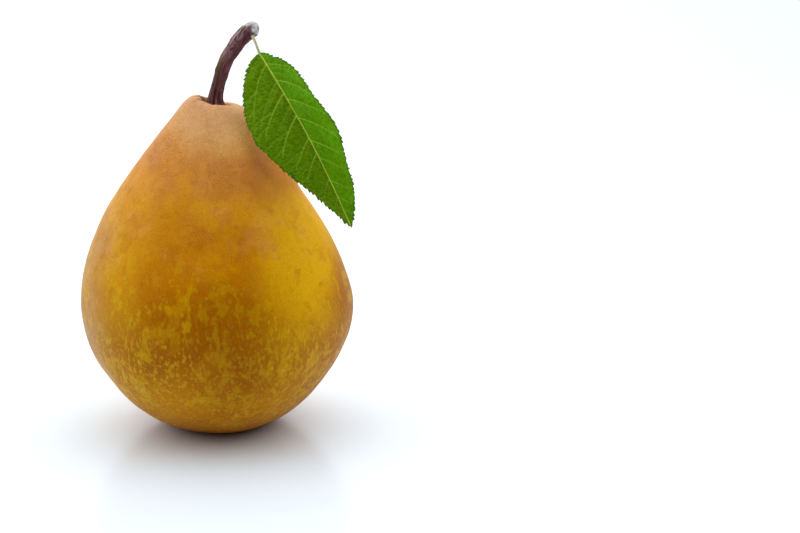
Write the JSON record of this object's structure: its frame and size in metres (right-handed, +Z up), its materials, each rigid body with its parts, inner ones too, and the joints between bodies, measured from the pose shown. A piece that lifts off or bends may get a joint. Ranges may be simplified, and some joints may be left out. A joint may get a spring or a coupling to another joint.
{
  "type": "pear",
  "caption": "Whole ripe russet pear standing upright on its blossom end, with a curved woody stem and a serrated green leaf hanging from the stem's tip.",
  "frame": {"origin": "centre of the fruit's base on its axis, in the plane of the small flat ring round the calyx hollow that it rests on", "axes": "+Z up along the fruit's axis from the blossom end to the stem; +X to the right, the way the stem bends and the leaf hangs; -Y is the front that the leaf's upper face looks to"},
  "size_m": [0.0806, 0.0791, 0.1191],
  "materials": {
    "skin": "satin",
    "stem_bark": "matte",
    "leaf_stalk": "satin",
    "leaf_green": "satin",
    "dried_calyx": "matte"
  },
  "bodies": {
    "root": {"fruit": "skin", "stem": "stem_bark", "leaf_stalk": "leaf_stalk", "leaf_blade": "leaf_green", "calyx_eye": "dried_calyx", "sepal_1": "dried_calyx", "sepal_2": "dried_calyx", "sepal_3": "dried_calyx", "sepal_4": "dried_calyx", "sepal_5": "dried_calyx"}
  },
  "joints": []
}
